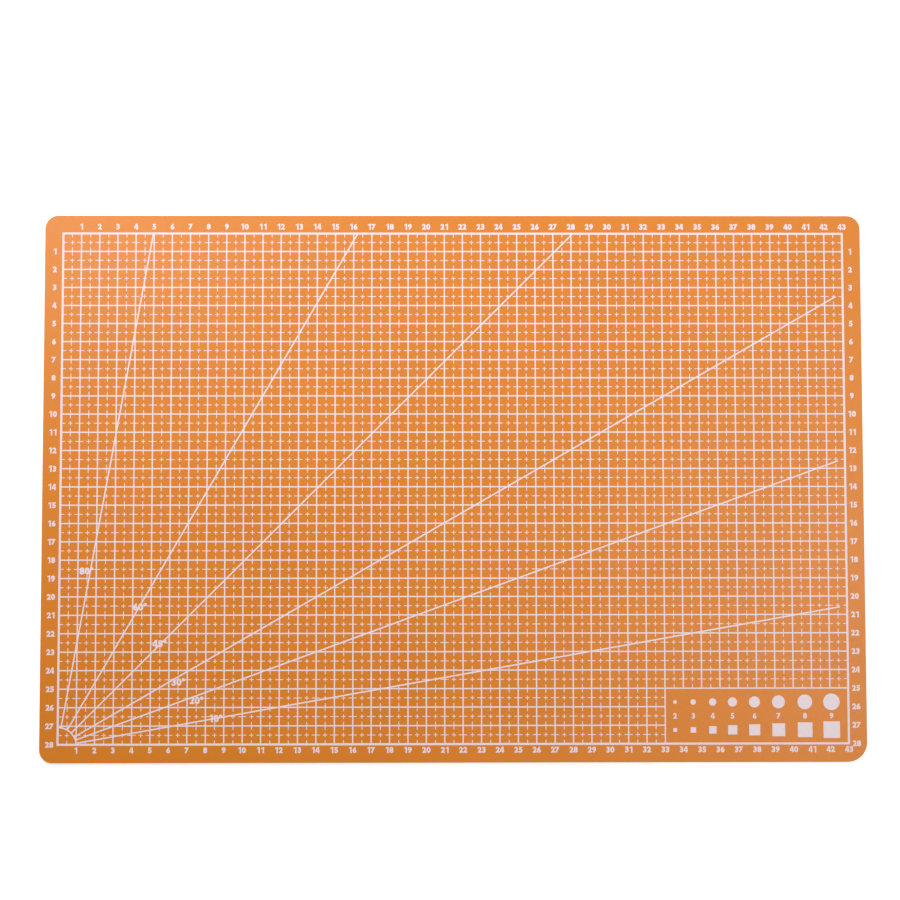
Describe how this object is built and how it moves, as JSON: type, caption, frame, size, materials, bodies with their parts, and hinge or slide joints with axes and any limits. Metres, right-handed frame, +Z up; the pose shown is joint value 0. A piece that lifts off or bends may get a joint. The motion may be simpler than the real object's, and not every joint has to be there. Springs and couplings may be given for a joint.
{
  "type": "cutting mat",
  "caption": "Flat craft cutting mat of bonded PVC plies with rounded corners, printed with a centimetre grid, side rulers, an angle fan and circle and square templates.",
  "frame": {"origin": "middle of the underside, where the mat lies on the table", "axes": "+X along the long side, to the right as the numbers read; +Y towards the upper edge of the print; +Z up out of the printed face"},
  "size_m": [0.45, 0.3, 0.003],
  "materials": {
    "skin": "orange soft PVC with a fine pebbled grain",
    "hard_ply": "pale hard PVC, seen only at the cut edge",
    "soft_ply": "orange soft PVC, seen only at the cut edge",
    "ink": "flat off-white screen print"
  },
  "bodies": {
    "root": {"bottom_skin": "skin", "lower_hard_ply": "hard_ply", "middle_soft_ply": "soft_ply", "upper_hard_ply": "hard_ply", "top_skin": "skin", "printed_grid": "ink", "printed_angle_lines": "ink", "printed_angle_arc": "ink", "printed_circles": "ink", "printed_squares": "ink"}
  },
  "joints": []
}
